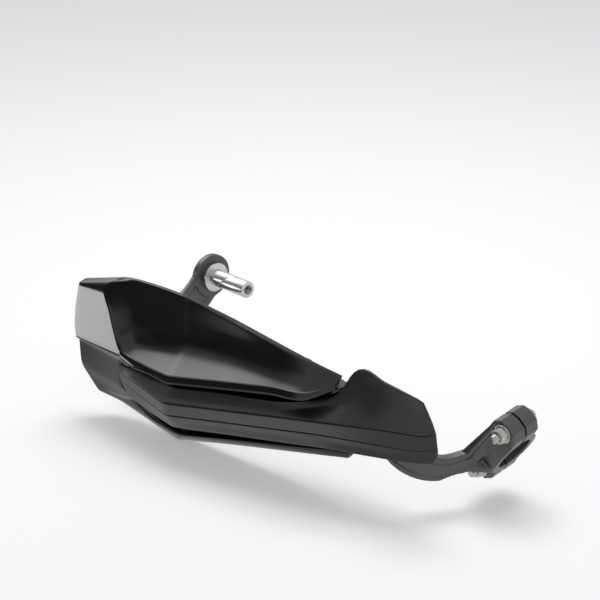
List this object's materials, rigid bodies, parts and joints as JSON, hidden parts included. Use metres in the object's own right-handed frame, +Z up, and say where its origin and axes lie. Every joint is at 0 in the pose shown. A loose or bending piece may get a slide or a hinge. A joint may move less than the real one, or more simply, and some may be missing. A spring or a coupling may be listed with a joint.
{
  "type": "motorcycle hand guard",
  "caption": "Right-hand motorcycle hand guard: curved bracket arm with handlebar clamp and expanding bar-end plug, gloss wind deflector and ridged satin cover.",
  "frame": {"origin": "centre of the bar-end bush's inboard flange face, on the plug's axis", "axes": "+X inboard along the end of the handlebar, -Y forward (the way the bike rides), +Z up"},
  "size_m": [0.3704, 0.1715, 0.1212],
  "materials": {
    "satin_black": "satin black powder coat",
    "gloss_black": "high gloss",
    "matte_black": "fine satin grain",
    "zinc_steel": "bright zinc",
    "spacer_aluminium": "plain turned",
    "insert_brass": "turned",
    "black_steel": "black oxide",
    "polished_aluminium": "polished, turned"
  },
  "bodies": {
    "root": {"bracket_arm": "satin_black", "clamp_cap": "satin_black", "clamp_bolt_upper": "zinc_steel", "clamp_bolt_lower": "zinc_steel", "clamp_nut_upper": "zinc_steel", "clamp_nut_lower": "zinc_steel", "deflector_shell": "gloss_black", "lower_cover": "matte_black", "shell_screw_outer": "zinc_steel", "shell_screw_inner": "zinc_steel", "spacer_outer": "spacer_aluminium", "spacer_inner": "spacer_aluminium", "insert_outer": "insert_brass", "insert_inner": "insert_brass", "cover_screw_outer": "black_steel", "cover_screw_inner": "black_steel", "bar_end_bush": "polished_aluminium", "bar_end_wedge": "polished_aluminium", "bar_end_bolt": "zinc_steel", "bar_end_washer": "zinc_steel"}
  },
  "joints": []
}
